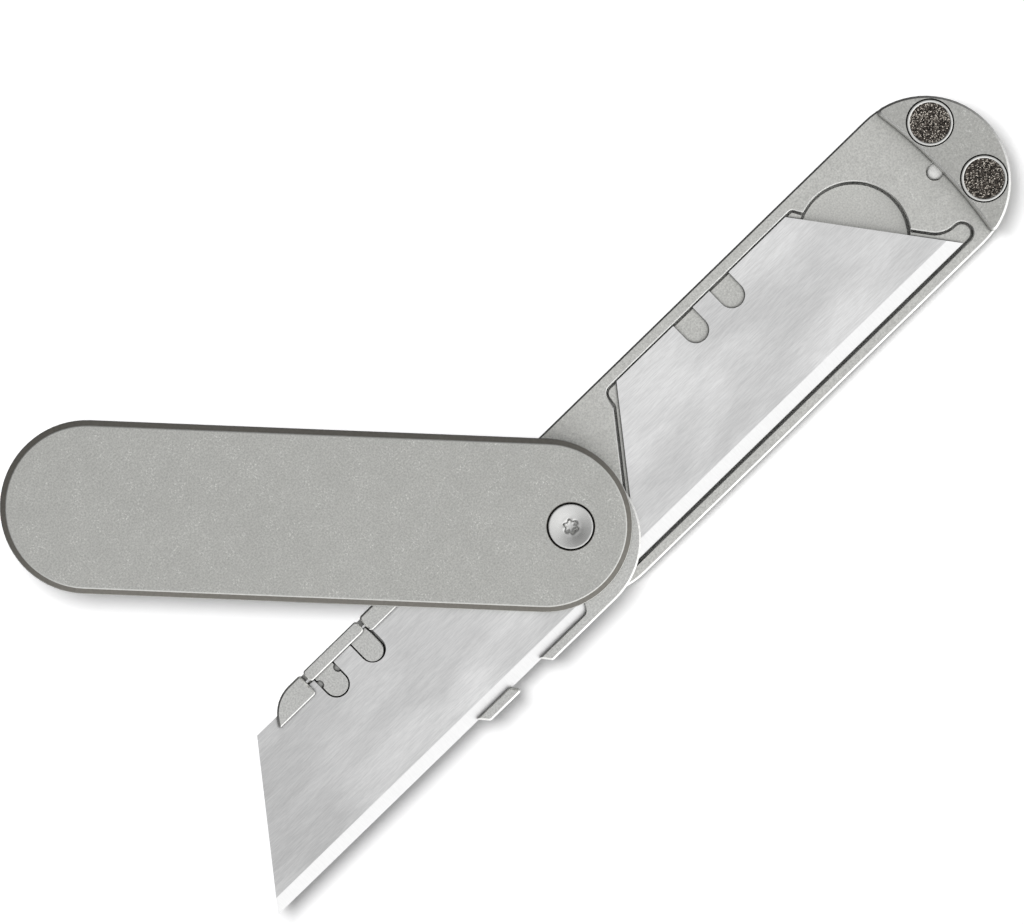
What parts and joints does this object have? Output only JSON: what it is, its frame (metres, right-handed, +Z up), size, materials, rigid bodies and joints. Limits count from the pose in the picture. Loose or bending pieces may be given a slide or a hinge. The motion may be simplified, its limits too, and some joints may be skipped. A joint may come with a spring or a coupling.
{
  "type": "folding utility knife",
  "caption": "Folding utility knife: flat handle with a spare blade pocket, swinging blade carrier with a trapezoid blade, and a swinging cover on one pivot screw.",
  "frame": {"origin": "on the pivot axis, at the underside of the handle", "axes": "+X from the pivot towards the blade tip, +Y towards the cutting edge, +Z up through the three leaves"},
  "size_m": [0.1393, 0.0687, 0.0095],
  "materials": {
    "titanium": "bead-blasted titanium, light grey, bright worn edges",
    "titanium_cover": "bead-blasted titanium, mid grey, fine bright flecks",
    "blade_steel": "fine brushed along the edge, bright ground strip",
    "hardware_steel": "polished",
    "spring_steel": "satin",
    "magnet": "dark, coarse and granular",
    "bronze": "satin"
  },
  "bodies": {
    "handle": {"handle_plate": "titanium", "magnet_pad": "titanium", "pad_magnet_1": "magnet", "pad_magnet_2": "magnet", "pad_screw_1": "hardware_steel", "pad_screw_2": "hardware_steel", "pocket_magnet_1": "magnet", "pocket_magnet_2": "magnet", "spare_blade": "blade_steel", "stop_pin": "hardware_steel", "pivot_barrel": "hardware_steel", "pivot_screw": "hardware_steel", "washer_lower": "bronze", "washer_upper": "bronze"},
    "carrier": {"blade_carrier": "titanium", "cutting_blade": "blade_steel", "lock_spring": "spring_steel", "lock_spring_screw": "hardware_steel", "detent_ball": "hardware_steel", "detent_spring": "spring_steel"},
    "lock": {"blade_lock": "titanium"},
    "cover": {"cover_plate": "titanium_cover", "cover_magnet_1": "magnet", "cover_magnet_2": "magnet"}
  },
  "joints": [
    {"name": "carrier_fold", "type": "hinge", "parent": "handle", "child": "carrier", "pos_m": [0, 0, 0.005], "axis": [0, 0, 1], "range_deg": [0, 180]},
    {"name": "lock_press", "type": "slide", "parent": "carrier", "child": "lock", "axis": [0, 0, -1], "range_m": [0, 0.0007], "stiffness_N_per_m": 2000, "springref_m": -0.0005, "deforming": ["lock_spring"]},
    {"name": "cover_swing", "type": "hinge", "parent": "handle", "child": "cover", "pos_m": [0, 0, 0.0082], "axis": [0, 0, 1], "range_deg": [-133.5, 46.5]}
  ]
}
